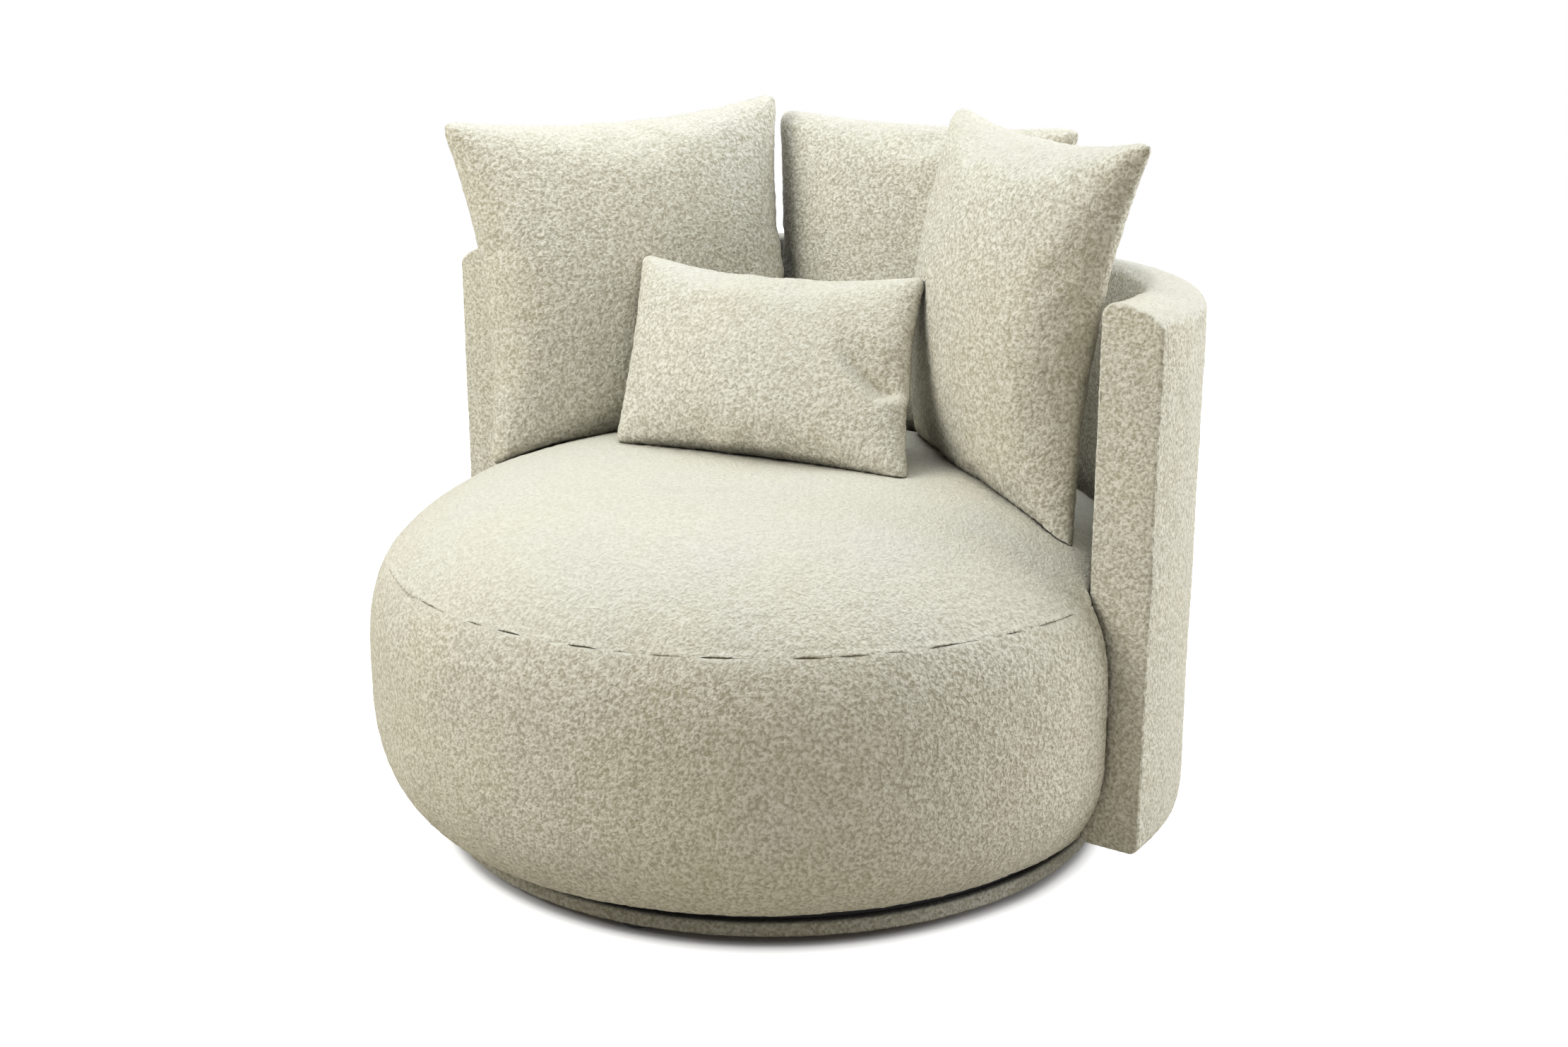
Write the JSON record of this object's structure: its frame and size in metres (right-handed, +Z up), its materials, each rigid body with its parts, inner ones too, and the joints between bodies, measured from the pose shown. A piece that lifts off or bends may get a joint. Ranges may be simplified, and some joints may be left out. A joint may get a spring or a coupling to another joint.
{
  "type": "swivel armchair",
  "caption": "Round swivel tub armchair with a domed seat, a half-round padded shell, a low round plinth and loose leaning pillows, all in nubby woven upholstery.",
  "frame": {"origin": "on the floor, on the swivel axis under the middle of the seat", "axes": "+Z up, the seat's front faces -Y, +X to the right as seen from the front"},
  "size_m": [1.1, 1.0609, 0.9397],
  "materials": {
    "boucle": "nubby ivory boucle",
    "glide_black": "matte",
    "zinc_steel": "satin",
    "ball_steel": "polished",
    "spring_steel": "satin",
    "bronze": "satin",
    "plywood": "matte",
    "foam": "matte foam",
    "felt": "matte felt",
    "black_cloth": "matte",
    "pillow_fill": "matte"
  },
  "bodies": {
    "base": {"floor_glides": "glide_black", "glide_screws": "zinc_steel", "plinth_board": "plywood", "plinth_hoop": "plywood", "plinth_cover": "boucle", "lower_bearing_plate": "zinc_steel", "lower_plate_screws": "zinc_steel", "pivot_bolt": "zinc_steel", "pivot_washer": "zinc_steel", "pivot_nut": "zinc_steel"},
    "ball_race": {"ball_cage": "zinc_steel", "bearing_balls": "ball_steel"},
    "seat": {"upper_bearing_plate": "zinc_steel", "pivot_bush": "bronze", "upper_plate_bolts": "zinc_steel", "upper_plate_nuts": "zinc_steel", "spacer_board": "plywood", "seat_base_board": "plywood", "dust_cover": "black_cloth", "seat_frame_hoop": "plywood", "seat_posts": "plywood", "seat_top_ring": "plywood", "spring_clips": "zinc_steel", "seat_springs": "spring_steel", "spring_felt": "felt", "seat_foam": "foam", "side_foam": "foam", "seat_side_cover": "boucle", "seat_top_cover": "boucle", "shell_inner_panel": "plywood", "shell_outer_panel": "plywood", "shell_posts": "plywood", "shell_top_rail": "plywood", "shell_bottom_rail": "plywood", "arm_boards": "plywood", "shell_padding": "foam", "arm_pads": "foam", "shell_cover": "boucle", "left_arm_cover": "boucle", "right_arm_cover": "boucle", "shell_bottom_cloth": "black_cloth", "shell_bolts": "zinc_steel", "shell_insert_nuts": "bronze"},
    "left_pillow": {"left_pillow_front": "boucle", "left_pillow_back": "boucle", "left_pillow_fill": "pillow_fill"},
    "middle_pillow": {"middle_pillow_front": "boucle", "middle_pillow_back": "boucle", "middle_pillow_fill": "pillow_fill"},
    "right_pillow": {"right_pillow_front": "boucle", "right_pillow_back": "boucle", "right_pillow_fill": "pillow_fill"},
    "lumbar_pillow": {"lumbar_pillow_front": "boucle", "lumbar_pillow_back": "boucle", "lumbar_pillow_fill": "pillow_fill"}
  },
  "joints": [
    {"name": "seat_swivel", "type": "hinge", "parent": "base", "child": "seat", "pos_m": [0, 0, 0.0405], "axis": [0, 0, 1], "continuous": true},
    {"name": "ball_race_roll", "type": "hinge", "parent": "base", "child": "ball_race", "pos_m": [0, 0, 0.0405], "axis": [0, 0, 1], "continuous": true},
    {"name": "left_pillow_lift", "type": "slide", "parent": "seat", "child": "left_pillow", "axis": [-0.1392, 0, 0.9903], "range_m": [0, 0.35]},
    {"name": "middle_pillow_lift", "type": "slide", "parent": "seat", "child": "middle_pillow", "axis": [0, 0, 1], "range_m": [0, 0.35]},
    {"name": "right_pillow_lift", "type": "slide", "parent": "seat", "child": "right_pillow", "axis": [0, 0, 1], "range_m": [0, 0.35]},
    {"name": "lumbar_pillow_lift", "type": "slide", "parent": "seat", "child": "lumbar_pillow", "axis": [0, 0, 1], "range_m": [0, 0.35]}
  ],
  "couplings": [
    {"joint": "ball_race_roll", "follows": "seat_swivel", "ratio": 0.5}
  ]
}
